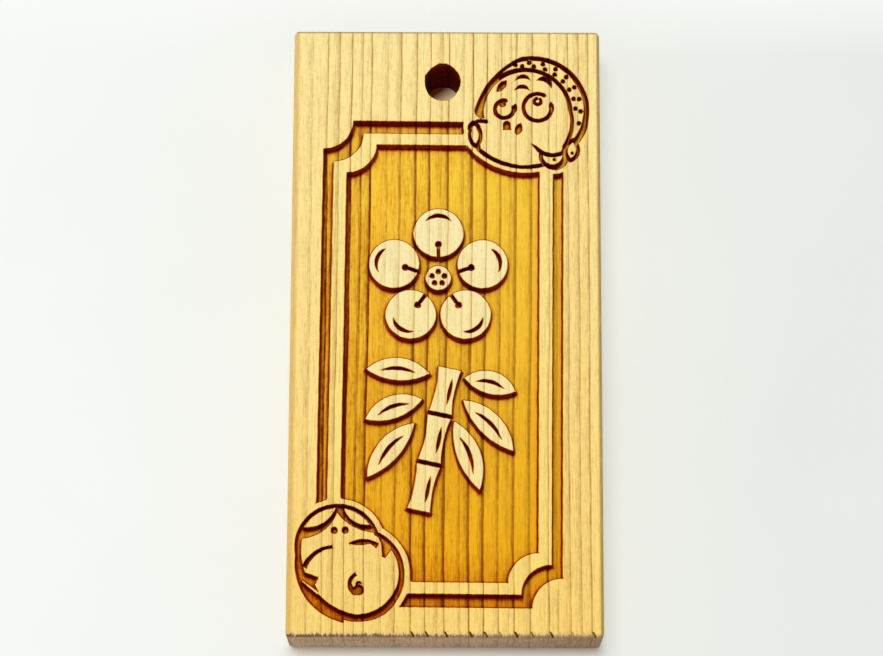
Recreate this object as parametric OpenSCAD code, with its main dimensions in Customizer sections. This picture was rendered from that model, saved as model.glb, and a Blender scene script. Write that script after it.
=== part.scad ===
/* [Board] */
// Width of the board, across the grain
board_w = 30; // [29.5:0.5:34]
// Length of the board, along the grain
board_l = 60; // [59:0.5:66]
// Thickness of the board
board_t = 7; // [5:0.25:9]
// Radius that the board's long and short edges are eased to
arris_r = 0.4; // [0.2:0.1:0.6]

/* [Cord hole] */
// Diameter of the cord hole
hole_d = 3.5; // [2.5:0.1:4]
// Distance from the board's top edge to the hole's centre
hole_edge = 5.2; // [4.5:0.1:5.4]
// Offset of the hole from the board's centre line
hole_x = -0.4; // [-1:0.1:0.4]

/* [Carving] */
// Depth of the sunk ground below the face
carve_depth = 1.2; // [0.8:0.1:1.6]
// Depth that each let-in piece sits below the ground
seat_depth = 0.5; // [0.3:0.1:1]
// Depth of the fine cuts in the face of a let-in piece
line_depth = 0.8; // [0.4:0.1:1]

/* [Scooped frame] */
// Width of the carved frame, outside its channel
frame_w = 23.4; // [23:0.1:24]
// Length of the carved frame, outside its channel
frame_l = 47.8; // [47:0.1:48.4]
// Offset of the frame from the board's centre line
frame_x = -0.45; // [-0.6:0.05:0]
// Offset of the frame's middle from the board's middle, along the grain
frame_y = -3.15; // [-3.5:0.05:-2.9]
// Turn of the frame on the board, in degrees
frame_turn = -0.4; // [-0.6:0.1:0]
// Width of the channel along the sides
channel_side_w = 1; // [0.7:0.05:1.2]
// Width of the channel along the ends
channel_end_w = 1.2; // [0.9:0.05:1.3]
// Width of the raised band along the sides
band_side_w = 1.3; // [1:0.05:1.4]
// Width of the raised band along the ends
band_end_w = 1.2; // [0.9:0.05:1.5]
// Radius of the scooped corners
scoop_r = 2.87; // [2.2:0.05:3.2]

/* [Masks] */
// Radius of the upper mask's head
upper_mask_r = 5.6; // [5.3:0.05:5.7]
// Width of the plain margin round the upper mask
upper_halo_w = 0.45; // [0.35:0.05:0.6]
// Width of the plain margin round the lower mask
lower_halo_w = 0.6; // [0.4:0.05:0.8]
// Width of the cut that parts the pieces of a mask
mask_gap = 0.36; // [0.25:0.01:0.4]

/* [Ornament] */
// Distance from the blossom's centre to the middle of a petal
petal_reach = 4.5; // [4.4:0.05:4.7]
// Radius of a petal
petal_r = 2.45; // [2:0.05:2.5]
// Length of a section of the bamboo culm
culm_l = 4.5; // [3.6:0.1:4.6]
// Width of the bamboo culm at its joints
culm_w = 2.3; // [1.6:0.1:2.4]
// Width of a bamboo leaf
leaf_w = 2.3; // [1.6:0.1:2.4]

/* [Hidden] */
$fn = 96;
PETALS = 5;

// Colours of the plain face, the raised band and the paler relief
FACE_WOOD = [0.96, 0.84, 0.53];
BAND_WOOD = [0.95, 0.82, 0.47];
RELIEF_WOOD = [0.96, 0.90, 0.65];

// Levels and small clearances
cut = 0.01;
far = 100;
sector_step = 60;
ground_z = board_t - carve_depth;
piece_t = carve_depth + seat_depth;

// Outlines of the frame, from the outside in
band_out = [frame_w - 2 * channel_side_w, frame_l - 2 * channel_end_w];
field = [band_out[0] - 2 * band_side_w, band_out[1] - 2 * band_end_w];

// Upper mask: a puckered clown face in a dotted headscarf, turned to the left.
// Discs are x, y and radius from the mask's middle
upper_mask_at = [8.35, 21.72];
head = [0, 0.2, upper_mask_r];
head_flank = [2.4, -1.8, 8.25];
scarf_line = 0.57;
scarf_out = [0.05, 0.35, upper_mask_r - scarf_line];
scarf_in = [-0.68, -0.05, 4.66];
forehead = [-0.58, 0.07, 4.15];
flank_line = 0.3;
scarf_ends = [50, -0.1];
jowl = [-0.8, -0.85, 4.54];
jowl_top = [-5.3, -0.7, 20];
jowl_tip = [2.28, -3.52, 0.68];
chin = [-0.65, 1.25, 6.95];
chin_from = [-5.4, -2.2];
chin_w = 6.7;
snout = [-4.53, -2.24, 1.7];
snout_tip = [-5.55, -1.55, 0.72];
snout_rise = 1.5;
snout_bridge = [[-6, -0.8], [-4.6, -0.76], [-5, -0.66], [-6, 0.38]];
mouth_at = [-5.58, -2.25];
mouth_size = [1.9, 0.76];
mouth_tilt = 95;
mouth_top = [-5.67, -1.61, 0.27];
knot = [2, -4.33, 0.96];
knot_hollow = [2, -2.3, 2.2];
knot_socket = [2.2, -4.5, 1.3];
knot_dot = [2.16, -4.75, 0.14];
tail_at = [3.88, -3.8];
tail_size = [1.65, 0.85];
tail_tilt = 82;
tail_dot = [3.9, -4.09, 0.14];
dot_r = 0.21;
// Each row of dots on the scarf: count, first and last angle, place across the scarf's width
dot_rows = [[9, 108, -13, 0.73], [8, 101, 6, 0.27]];

// Upper mask: eyes, brows, forehead marks, nostrils, snout line and knot line
eye_stroke = 0.34;
left_eye = [-2.72, 0.37, 0.9];
left_eye_sweep = [80, 372];
left_eye_end = [-1.72, 0.42, 75];
left_pupil = [-2.88, 0.92, 0.31];
right_eye = [0.55, 0.57, 1.38];
right_eye_sweep = [62, 365];
right_eye_end = [1.94, 0.62, 100];
eye_end_size = [1, 0.46];
right_pupil = [0.58, 1.18, 0.32];
right_pupil_sweep = [110, 400];
pupil_stroke = 0.28;
left_brow = [-2.95, 2.75, 50];
left_brow_size = [1.45, 0.64];
right_brow = [1.22, 3, -28];
right_brow_size = [1.55, 0.72];
right_brow_w = 0.52;
forehead_marks = [[-0.88, 3.42], [-0.95, 2.38]];
forehead_size = [1.3, 0.5];
forehead_w = 0.36;
left_nostril = [-2.46, -1.22, 0.36];
left_nostril_l = 0.5;
right_nostril = [-1.3, -1.65, 70];
right_nostril_size = [1.2, 0.66];
snout_line = [-4.95, -4.87, 4];
snout_line_sweep = [83, 99];
snout_line_w = 0.33;
knot_line = [0.62, -4.04, -52];
knot_line_size = [2.2, 0.32];
knot_line_w = 0.3;

// Lower mask: a round smiling face with parted hair, leaning to the left.
// Discs are x, y and radius from the mask's middle
lower_mask_at = [-9.1, -22.83];
dome = [-1.09, 1.5, 4.06];
dome_line = 0.32;
right_cheek = [0.8, -1.15, 4.46];
right_cheek_in = [0.75, -1, 4];
right_cheek_fold = [1.2, -1.8, 3.78];
left_cheek = [0.78, 0.05, 5.88];
left_cheek_in = [1.8, 1.25, 6.35];
cheek_break = [-0.5, 2.25];
left_parting = [-4.85, 6.2, 3.93];
right_parting = [2.65, 7.55, 4.65];
left_hair = [-4, 6.2, 2.9];
right_hair = [1.66, 5.83, 2.28];
left_lock = [[-4.6, -1.95], [-2.85, -2.9], [-3.2, -2.15], [-2.9, -1.45], [-4.9, -0.75]];
left_strand = [[-4.35, -1.68], [-4.42, -1.9], [-2.95, -3.1], [-2.7, -2.9]];
right_lock = [[2.78, 2.6], [3.06, 1.75], [3.16, 0.6], [3.4, 0.48], [3.95, 1.25], [4.5, 1.6], [3.6, 2.8]];

// Lower mask: brow spots, smiling eyes and the curled mouth.
// A stroke is its middle, its outer radius, its two widths and the angles of its thin and thick ends
brow_dots = [[-1.42, 3.07], [-0.37, 3.09]];
brow_dot_r = 0.3;
left_smile = [[-1.34, -1.78], 3.38, [0.24, 0.44], 94, 155];
right_smile = [[1.37, -0.38], 2.57, [0.1, 0.36], 121, 57];
right_smile_lid = [1.2, 1.91, 4];
right_smile_lid_size = [2.4, 0.4];
curl = [[1.08, -2.06], 1.14, [0.26, 0.5], 114, 245];
curl_drops = [[0.95, -2.62, 0.47], [0.62, -2.72, 0.37]];
curl_hook = [0.98, -2.12, 0.2];
curl_hook_sweep = [50, 210];
curl_hook_w = 0.2;

// Blossom above, bamboo below
blossom_at = [-0.75, 5];
blossom_centre_r = 1.25;
shine_out = 0.55;
shine_size = [2.3, 0.62];
shine_w = 0.34;
stamen_l = 1.3;
stamen_w = 0.3;
stamen_dot_r = 0.3;
centre_dot_r = 0.24;
centre_dot_reach = 0.62;
culm_foot = [-2.55, -17.85];
culm_lean = -12;
culm_gap = 0.36;
culm_waist = 0.22;
culm_slit_l = 2.4;
culm_slit_x = 0.45;
leaf_slit_l = 0.5;
leaf_slit_bow = 0.45;
// Each leaf: its base, the way it points in degrees, its length, and the side that it bows to
leaves = [
    [[1.75, -4.9], -15, 5.2, 1],
    [[1.65, -7.05], -46, 7, 1],
    [[0.8, -9.1], -70, 7.2, 1],
    [[-1.5, -4.5], 176, 6.2, -1],
    [[-2.2, -7], 200, 5.9, -1],
    [[-2.95, -9.3], 230, 7, -1]];
leaf_back = 0.6;

function culm_base(i) =
    culm_foot + i * (culm_l + culm_gap) * [-sin(culm_lean), cos(culm_lean)];

// Radius of the arc that spans a chord and bows out by a given height
function bow_r(chord, height) = (chord * chord / 4 + height * height) / (2 * height);

// General shapes

// A disc given as x, y and radius
module disc(d, grow = 0) {
    translate([d[0], d[1]]) circle(r = d[2] + grow);
}

// A pointed oval along X, grown by a constant margin
module lens(size, grow = 0) {
    r = bow_r(size[0], size[1] / 2);
    intersection() {
        translate([0, size[1] / 2 - r]) circle(r = r + grow);
        translate([0, r - size[1] / 2]) circle(r = r + grow);
    }
}

// A pointed oval along X with one side bowed more than the other
module leaf_shape(length, width, back) {
    upper = width * back;
    lower = width - upper;
    intersection() {
        translate([0, upper - bow_r(length, upper)]) circle(r = bow_r(length, upper));
        translate([0, bow_r(length, lower) - lower]) circle(r = bow_r(length, lower));
    }
}

// A new moon along X: a chord's length, the bow of its back and its thickness
module crescent(size, thickness) {
    outer = bow_r(size[0], size[1]);
    inner = bow_r(size[0], size[1] - thickness);
    difference() {
        translate([0, size[1] - outer]) circle(r = outer);
        translate([0, size[1] - thickness - inner]) circle(r = inner);
    }
}

// The part of a disc's plane between two angles
module sector(r, a0, a1) {
    steps = ceil((a1 - a0) / sector_step);
    angles = [for (i = [0 : steps]) a0 + (a1 - a0) * i / steps];
    polygon(concat([[0, 0]], [for (a = angles) 2 * r * [cos(a), sin(a)]]));
}

// A round-ended stroke along an arc
module arc_stroke(r, w, a0, a1) {
    intersection() {
        difference() {
            circle(r = r + w / 2);
            circle(r = r - w / 2);
        }
        sector(r, a0, a1);
    }
    for (a = [a0, a1])
        rotate(a) translate([r, 0]) circle(d = w);
}

// A brush stroke along an arc, as wide at its two ends as given
module brush(stroke) {
    rim = stroke[1];
    w = stroke[2];
    thin = stroke[3];
    thick = stroke[4];
    bias = (w[1] - w[0]) / (1 - cos(thick - thin));
    translate(stroke[0]) intersection() {
        difference() {
            circle(r = rim);
            translate(bias * [cos(thin), sin(thin)]) circle(r = rim - w[0] - bias);
        }
        sector(rim, min(thin, thick), max(thin, thick));
    }
}

// A rectangle with its four corners scooped out
module ticket(size) {
    difference() {
        square(size, center = true);
        for (sx = [-1, 1], sy = [-1, 1])
            translate([sx * size[0] / 2, sy * size[1] / 2]) circle(r = scoop_r);
    }
}

// A shape set at a place and turned
module placed(at, turn = 0) {
    translate(at) rotate(turn) children();
}

// A let-in piece: an outline that stands from its seat up to the face
module let_in() {
    translate([0, 0, board_t - piece_t]) linear_extrude(piece_t) children();
}

// A fine cut into the face of a let-in piece
module fine_cut() {
    translate([0, 0, board_t - line_depth]) linear_extrude(line_depth + cut) children();
}

// Scooped frame outlines

module frame_outline() {
    placed([frame_x, frame_y], frame_turn) ticket([frame_w, frame_l]);
}

// The band round the field, whose upper right corner stays square below the upper mask
module band_outline() {
    difference() {
        placed([frame_x, frame_y], frame_turn) difference() {
            ticket(band_out);
            ticket(field);
            translate(field / 2 - [scoop_r, scoop_r]) square(scoop_r);
        }
        upper_mask_halo();
        lower_mask_pocket(lower_halo_w);
    }
}

// The half of the frame above its rising diagonal
module upper_left_half() {
    placed([frame_x, frame_y], frame_turn)
        polygon([[-frame_w, -frame_l], [frame_w, frame_l], [-frame_w, frame_l]]);
}

module band_upper_left_outline() {
    intersection() {
        band_outline();
        upper_left_half();
    }
}

module band_lower_right_outline() {
    difference() {
        band_outline();
        upper_left_half();
    }
}

// Upper mask outlines

// The lip, pointed below and blunt above
module mouth_shape(grow = 0) {
    placed(mouth_at, mouth_tilt) lens(mouth_size, grow);
    disc(mouth_top, grow);
}

module knot_shape(grow = 0) {
    difference() {
        disc(knot, grow);
        disc(knot_hollow, -grow);
    }
}

module tail_shape(grow = 0) {
    placed(tail_at, tail_tilt) lens(tail_size, grow);
}

// The round head, flatter over the cheek
module head_shape(grow = 0) {
    intersection() {
        disc(head, grow);
        disc(head_flank, grow);
    }
}

// The long curve under the chin, from the snout to the knot
module chin_shape(grow = 0) {
    intersection() {
        disc(chin, grow);
        translate(chin_from - [grow, far]) square([chin_w + grow, far]);
    }
}

// The cheek's lower side, below a line that falls towards the snout
module jowl_shape() {
    intersection() {
        disc(jowl);
        placed([jowl_top[0], jowl_top[1]], jowl_top[2]) translate([-far / 2, -far]) square(far);
    }
}

module upper_mask_pocket(grow = 0) {
    placed(upper_mask_at) {
        head_shape(grow);
        chin_shape(grow);
        disc(snout, grow);
        disc(snout_tip, grow);
        disc(knot_socket, grow);
        tail_shape(mask_gap + grow);
    }
}

// The plain margin round the upper mask, cut square where it stops the frame's channel
module upper_mask_halo() {
    upper_mask_pocket(upper_halo_w);
    reach = snout_tip[2] + upper_halo_w;
    placed(upper_mask_at) translate([snout_tip[0] - reach, snout_tip[1]]) square([reach, snout_rise]);
}

module upper_mask_face_outline() {
    placed(upper_mask_at) difference() {
        union() {
            disc(forehead);
            jowl_shape();
            disc(jowl_tip);
            chin_shape(-mask_gap);
            intersection() {
                polygon(snout_bridge);
                head_shape();
            }
        }
        mouth_shape(mask_gap);
        knot_shape(mask_gap);
        tail_shape(mask_gap);
    }
}

module upper_mask_scarf_outline() {
    placed(upper_mask_at) intersection() {
        disc(head_flank, -flank_line);
        difference() {
            disc(scarf_out);
            disc(scarf_in);
            disc(jowl, mask_gap);
            tail_shape(mask_gap);
        }
        rotate(scarf_ends[0]) translate([scarf_ends[1], -far / 2]) square(far);
    }
}

module eye(middle, sweep) {
    placed([middle[0], middle[1]]) arc_stroke(middle[2], eye_stroke, sweep[0], sweep[1]);
}

// A pointed oval at x, y and a turn
module fleck(at, size) {
    placed([at[0], at[1]], at[2]) lens(size);
}

module upper_mask_features() {
    eye(left_eye, left_eye_sweep);
    eye(right_eye, right_eye_sweep);
    fleck(left_eye_end, eye_end_size);
    fleck(right_eye_end, eye_end_size);
    disc(left_pupil);
    placed([right_pupil[0], right_pupil[1]])
        arc_stroke(right_pupil[2], pupil_stroke, right_pupil_sweep[0], right_pupil_sweep[1]);
    fleck(left_brow, left_brow_size);
    placed([right_brow[0], right_brow[1]], right_brow[2]) crescent(right_brow_size, right_brow_w);
    for (at = forehead_marks)
        placed(at) crescent(forehead_size, forehead_w);
    disc(left_nostril);
    translate([left_nostril[0] - left_nostril[2], left_nostril[1] - left_nostril_l])
        square([2 * left_nostril[2], left_nostril_l]);
    fleck(right_nostril, right_nostril_size);
    placed([snout_line[0], snout_line[1]])
        arc_stroke(snout_line[2], snout_line_w, snout_line_sweep[0], snout_line_sweep[1]);
    placed([knot_line[0], knot_line[1]], knot_line[2]) crescent(knot_line_size, knot_line_w);
}

// Distance from the mask's middle to a disc's rim, at an angle
function rim_at(d, a) =
    let (along = d[0] * cos(a) + d[1] * sin(a))
    along + sqrt(d[2] * d[2] - d[0] * d[0] - d[1] * d[1] + along * along);

module scarf_dots() {
    for (row = dot_rows, i = [0 : row[0] - 1]) {
        a = row[1] + (row[2] - row[1]) * i / (row[0] - 1);
        inner = rim_at(scarf_in, a);
        rotate(a) translate([inner + row[3] * (rim_at(scarf_out, a) - inner), 0]) circle(r = dot_r);
    }
}

// Lower mask outlines

module lower_mask_pocket(grow = 0) {
    placed(lower_mask_at) {
        disc(dome, grow);
        disc(right_cheek, grow);
        disc(right_cheek_fold, grow);
        left_side() disc(left_cheek, grow);
    }
}

// The part of the lower mask that lies left of the break in its outline and below the dome
module left_side() {
    intersection() {
        children();
        translate(cheek_break - [far, far]) square(far);
    }
}

module lower_mask_face_outline() {
    placed(lower_mask_at) {
        difference() {
            intersection() {
                disc(left_cheek_in);
                union() {
                    disc(dome, -dome_line);
                    disc(right_cheek_in);
                    left_side() disc(left_cheek_in);
                }
            }
            disc(left_parting);
            disc(right_parting);
            polygon(left_lock);
            polygon(right_lock);
        }
        polygon(left_strand);
    }
}

module lower_mask_hair_outline(hair) {
    placed(lower_mask_at) intersection() {
        disc(dome, -dome_line);
        disc(hair);
    }
}

module lower_mask_features() {
    for (at = brow_dots)
        placed(at) circle(r = brow_dot_r);
    brush(left_smile);
    brush(right_smile);
    fleck(right_smile_lid, right_smile_lid_size);
    brush(curl);
    for (drop = curl_drops)
        disc(drop);
    placed([curl_hook[0], curl_hook[1]])
        arc_stroke(curl_hook[2], curl_hook_w, curl_hook_sweep[0], curl_hook_sweep[1]);
}

// Ornament outlines

module petal_frame(i) {
    placed(blossom_at, 90 + i * 360 / PETALS) translate([petal_reach, 0]) children();
}

module petal_outline(i) {
    petal_frame(i) circle(r = petal_r);
}

// The shine at a petal's rim and the stamen that runs into its foot
module petal_features(i) {
    petal_frame(i) {
        translate([petal_r - shine_out - shine_size[1], 0]) rotate(-90) crescent(shine_size, shine_w);
        translate([-petal_r - cut, -stamen_w / 2]) square([stamen_l, stamen_w]);
        translate([stamen_l - petal_r, 0]) circle(r = stamen_dot_r);
    }
}

module blossom_centre_outline() {
    placed(blossom_at) circle(r = blossom_centre_r);
}

module blossom_centre_features() {
    placed(blossom_at) for (i = [0 : PETALS - 1])
        rotate(90 + i * 360 / PETALS) translate([centre_dot_reach, 0]) circle(r = centre_dot_r);
}

// A section of culm, drawn in at its waist between two joints
module culm_outline(i) {
    waist_r = bow_r(culm_l, culm_waist);
    placed(culm_base(i), culm_lean) difference() {
        translate([-culm_w / 2, 0]) square([culm_w, culm_l]);
        for (side = [-1, 1])
            translate([side * (culm_w / 2 - culm_waist + waist_r), culm_l / 2]) circle(r = waist_r);
    }
}

module culm_features(i) {
    placed(culm_base(i), culm_lean) translate([culm_slit_x, culm_l / 2]) rotate(90)
        lens([culm_slit_l, stamen_w]);
}

module leaf_frame(leaf) {
    placed(leaf[0], leaf[1]) translate([leaf[2] / 2, 0]) mirror([0, leaf[3] > 0 ? 0 : 1]) children();
}

module leaf_outline(leaf) {
    leaf_frame(leaf) leaf_shape(leaf[2], leaf_w, leaf_back);
}

module leaf_features(leaf) {
    leaf_frame(leaf) crescent([leaf[2] * leaf_slit_l, leaf_slit_bow], stamen_w);
}

// Sub-parts

// Plain block with eased edges
module eased_block() {
    difference() {
        translate([-board_w / 2, -board_l / 2, 0]) cube([board_w, board_l, board_t]);
        for (side = [-1, 1], level = [0, 1]) {
            edge_cut([side, 0], level, board_w / 2, 0);
            edge_cut([0, side], level, board_l / 2, 90);
        }
    }
}

// What is taken off along one edge: a square bar less a round bar
module edge_cut(side, level, reach, turn) {
    s = side[0] + side[1];
    up = level == 1 ? 1 : -1;
    rotate(turn) translate([s * (reach - arris_r), 0, level * board_t - up * arris_r]) difference() {
        translate([s > 0 ? 0 : -arris_r - cut, -far / 2, up > 0 ? 0 : -arris_r - cut])
            cube([arris_r + cut, far, arris_r + cut]);
        rotate([90, 0, 0]) cylinder(r = arris_r, h = far + cut, center = true);
    }
}

module sunk_ground() {
    difference() {
        frame_outline();
        upper_mask_halo();
        lower_mask_pocket(lower_halo_w);
    }
    upper_mask_pocket();
    lower_mask_pocket();
}

module all_seats() {
    let_in() band_outline();
    let_in() upper_mask_face_outline();
    let_in() upper_mask_scarf_outline();
    let_in() placed(upper_mask_at) {
        mouth_shape();
        knot_shape();
        tail_shape();
    }
    let_in() lower_mask_face_outline();
    let_in() lower_mask_hair_outline(left_hair);
    let_in() lower_mask_hair_outline(right_hair);
    let_in() blossom_centre_outline();
    for (i = [0 : PETALS - 1])
        let_in() petal_outline(i);
    for (i = [0 : 2])
        let_in() culm_outline(i);
    for (leaf = leaves)
        let_in() leaf_outline(leaf);
}

// The board, with its ground sunk, its seats cut and its cord hole drilled
module board() {
    color(FACE_WOOD) difference() {
        eased_block();
        translate([0, 0, ground_z]) linear_extrude(carve_depth + cut) sunk_ground();
        all_seats();
        translate([hole_x, board_l / 2 - hole_edge, -cut]) cylinder(d = hole_d, h = board_t + 2 * cut);
    }
}

module band_upper_left() {
    color(BAND_WOOD) let_in() band_upper_left_outline();
}

module band_lower_right() {
    color(BAND_WOOD) let_in() band_lower_right_outline();
}

module upper_mask_face() {
    color(FACE_WOOD) difference() {
        let_in() upper_mask_face_outline();
        fine_cut() placed(upper_mask_at) upper_mask_features();
    }
}

module upper_mask_scarf() {
    color(FACE_WOOD) difference() {
        let_in() upper_mask_scarf_outline();
        fine_cut() placed(upper_mask_at) scarf_dots();
    }
}

module upper_mask_mouth() {
    color(FACE_WOOD) let_in() placed(upper_mask_at) mouth_shape();
}

module upper_mask_knot() {
    color(FACE_WOOD) difference() {
        let_in() placed(upper_mask_at) knot_shape();
        fine_cut() placed(upper_mask_at) disc(knot_dot);
    }
}

module upper_mask_tail() {
    color(FACE_WOOD) difference() {
        let_in() placed(upper_mask_at) tail_shape();
        fine_cut() placed(upper_mask_at) disc(tail_dot);
    }
}

module lower_mask_face() {
    color(FACE_WOOD) difference() {
        let_in() lower_mask_face_outline();
        fine_cut() placed(lower_mask_at) lower_mask_features();
    }
}

module lower_mask_hair_left() {
    color(FACE_WOOD) let_in() lower_mask_hair_outline(left_hair);
}

module lower_mask_hair_right() {
    color(FACE_WOOD) let_in() lower_mask_hair_outline(right_hair);
}

module blossom_centre() {
    color(RELIEF_WOOD) difference() {
        let_in() blossom_centre_outline();
        fine_cut() blossom_centre_features();
    }
}

module blossom_petal(i) {
    color(RELIEF_WOOD) difference() {
        let_in() petal_outline(i);
        fine_cut() petal_features(i);
    }
}

module bamboo_culm(i) {
    color(RELIEF_WOOD) difference() {
        let_in() culm_outline(i);
        fine_cut() culm_features(i);
    }
}

module bamboo_leaf(leaf) {
    color(RELIEF_WOOD) difference() {
        let_in() leaf_outline(leaf);
        fine_cut() leaf_features(leaf);
    }
}

board();
band_upper_left();
band_lower_right();
upper_mask_face();
upper_mask_scarf();
upper_mask_mouth();
upper_mask_knot();
upper_mask_tail();
lower_mask_face();
lower_mask_hair_left();
lower_mask_hair_right();
blossom_centre();
for (i = [1 : PETALS])
    blossom_petal(i - 1);
bamboo_culm(0);  // bamboo_culm_lower
bamboo_culm(1);  // bamboo_culm_middle
bamboo_culm(2);  // bamboo_culm_upper
for (i = [1 : len(leaves)])
    bamboo_leaf(leaves[i - 1]);
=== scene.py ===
import math

import bpy
import numpy as np
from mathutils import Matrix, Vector
from mathutils.geometry import delaunay_2d_cdt
from mathutils.kdtree import KDTree


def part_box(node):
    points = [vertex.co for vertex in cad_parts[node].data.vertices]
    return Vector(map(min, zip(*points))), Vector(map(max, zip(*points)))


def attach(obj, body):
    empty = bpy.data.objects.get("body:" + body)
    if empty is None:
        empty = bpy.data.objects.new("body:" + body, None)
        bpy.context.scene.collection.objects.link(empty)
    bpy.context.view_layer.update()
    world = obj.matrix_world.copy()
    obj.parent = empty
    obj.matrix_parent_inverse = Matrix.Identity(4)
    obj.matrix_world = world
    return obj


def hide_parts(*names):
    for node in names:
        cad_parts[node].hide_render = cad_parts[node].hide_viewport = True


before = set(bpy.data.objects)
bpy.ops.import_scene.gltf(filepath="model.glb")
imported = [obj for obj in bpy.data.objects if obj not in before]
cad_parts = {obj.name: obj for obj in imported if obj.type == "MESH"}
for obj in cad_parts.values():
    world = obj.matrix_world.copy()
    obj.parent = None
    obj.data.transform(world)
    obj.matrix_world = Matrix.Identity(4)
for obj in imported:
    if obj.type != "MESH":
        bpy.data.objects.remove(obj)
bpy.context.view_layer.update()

# Lengths are millimetres in the shared frame, turned into metres in the meshes
MM = 0.001
HALF_W, HALF_L, FACE_Z = np.array(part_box("board")[1]) / MM

# Levels of the carving
LINE_Z = FACE_Z - 0.8
GROUND_Z = FACE_Z - 1.2
FOOT_Z = GROUND_Z - 0.15
SEAT_Z = GROUND_Z - 0.5
LEVEL_TOLERANCE = 0.002

# Cut edges: eased arris, lean of the wall, burnt rim on the face
EASE = 0.06
DRAFT = 0.08
RIM_W = 0.06
# Joints without a gap: distance of the outlines, share of easing left, tuck of the ground
TOUCHING = 0.03
FLUSH = 0.04
TUCK = 0.03
# Narrowing of a piece towards its seat, and clearances of feet and ground
SEAT_IN = 0.03
FOOT_CLEAR = 0.02
GROUND_CLEAR = 0.05

# Outlines: spacing and least number of points, corners, folds, straight runs and curves
STEP = 0.1
FEWEST_ROUND = 10
FEWEST_OPEN = 2
SAME_POINT = 0.004
CORNER_TURN = math.radians(25)
FOLD_TURN = math.radians(100)
FOLD_L = 0.05
LONGEST_CHORD = 0.8
CURVE_POINTS = 8
MITRE_LIMIT = 2.5
# A moved point is kept if it stays this share of its distance away from all walls
KEPT_SHARE = 0.8
KEPT_SLACK = 1e-4
# Guards against zero lengths and doubled plan points
TINY = 1e-9
PLAN_EPSILON = 1e-6

# Waves of edges, ground and its rows of points: size in mm, radians per mm in x and y, phase
EDGE_WAVES_X = [(0.010, 0.7, 2.1, 0.3), (0.004, -1.9, 5.3, 1.0)]
EDGE_WAVES_Y = [(0.009, 7.3, 1.3, 0.0), (0.006, 17.1, -2.7, 2.0), (0.004, 31.0, 0.9, 4.1)]
GROUND_WAVES = [(0.008, 3.1, 0.9, 0.0), (0.006, -5.7, 1.3, 1.0)]
ROW_WAVES = [(0.24, 37.0, 11.0, 0.0)]

# Annual rings at the board's middle: place of a late-wood line, strength, brown before it
RINGS = [
    (-19.5, 0.5, 0.0), (-18.2, 0.6, 0.0), (-16.8, 0.5, 0.0), (-15.3, 0.4, 0.0), (-13.1, 0.15, 0.4),
    (-11.6, 0.62, 0.1), (-10.5, 0.4, 0.8), (-9.33, 0.85, 0.0), (-8.32, 0.4, 0.2), (-7.42, 0.8, 0.0),
    (-5.82, 0.2, 0.5), (-4.52, 0.4, 0.7), (-2.97, 0.7, 0.3), (-1.62, 0.75, 0.0), (-0.47, 0.22, 0.6),
    (0.18, 0.75, 0.0), (1.63, 0.3, 0.2), (2.53, 1.0, 0.0), (3.91, 0.85, 0.1), (5.33, 0.5, 0.4),
    (6.28, 0.25, 0.2), (6.78, 0.65, 0.0), (8.33, 0.55, 0.7), (10.05, 0.75, 0.1), (10.8, 0.3, 0.1),
    (11.9, 0.45, 0.4), (12.93, 0.35, 0.6), (13.87, 0.6, 0.2), (15.3, 0.4, 0.0), (16.8, 0.5, 0.0)]
RING_X, RING_STRENGTH, RING_LEAD = np.array(RINGS).T
RING_GAP = np.diff(RING_X)
# Lean of the rings along the grain, not near the sides: shift and size in mm, radians per mm
LEAN_SHIFT = -0.075
LEAN_SIZE = 0.195
LEAN_TURN = 0.056
LEAN_END = 12.0
LEAN_FADE = 3.0
# Slow sway of the rings along the grain: size in mm, radians per mm, phase
SWAYS = [(0.03, 0.21, 0.9), (0.02, 0.47, 2.2)]
# Darkness by distance in mm: line on the face, line in the ground, lead up to it, after it
LINE_PROFILE = [(0, 1), (0.07, 1), (0.13, 0.35), (0.26, 0.09), (0.6, 0.02), (1, 0)]
STREAK_PROFILE = [(0, 1), (0.15, 1), (0.24, 0.55), (0.4, 0.2), (0.7, 0.05), (1, 0.01)]
LEAD_PROFILE = [(0, 0.8), (0.1, 1), (0.35, 0.8), (0.6, 0.3), (0.9, 0), (1, 0)]
AFTER_PROFILE = [(0, 0.5), (0.03, 0.1), (0.06, 0), (1, 0)]
LEAD_DEPTH = 0.4
STREAK_GAIN = 1.45
# How proud the late wood stands in the ground, from one line to the next
RIDGE_PROFILE = [(0, 0), (0.04, 0), (0.6, 0.05), (0.84, 0.3), (0.91, 1), (0.97, 1), (1, 0)]
RIDGE_H = 0.05
# The ground's points: columns between two rings, and rows
COLUMN_STEPS = [0.03, 0.22, 0.45, 0.68, 0.84, 0.91, 0.97]
ROW_STEP = 0.8
ROW_MARGIN = 1.0

# Scorch: 0 is bare wood, GROUND_SCORCH the sunk ground, 1 a charred wall; near walls the value also carries
# painted shade
GROUND_SCORCH = 0.5
EDGE_SCORCH = 0.95
# Scorch of the ground by distance from a wall's top edge, charring together with painted shadow at the
# wall's foot, and rows of points there
CHAR_AND_SHADOW_FADE = [(0.0, 1.0), (0.16, 0.97), (0.27, 0.65), (0.42, 0.54), (0.75, GROUND_SCORCH)]
NEAR_WALL = [0.09, 0.2, 0.34, 0.6]
# Scorch added along the grain, by place on the board
GRAIN_BURN = [(-27.0, 0.16), (-20.0, 0.0), (18.6, 0.0), (20.0, 0.08)]
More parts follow.
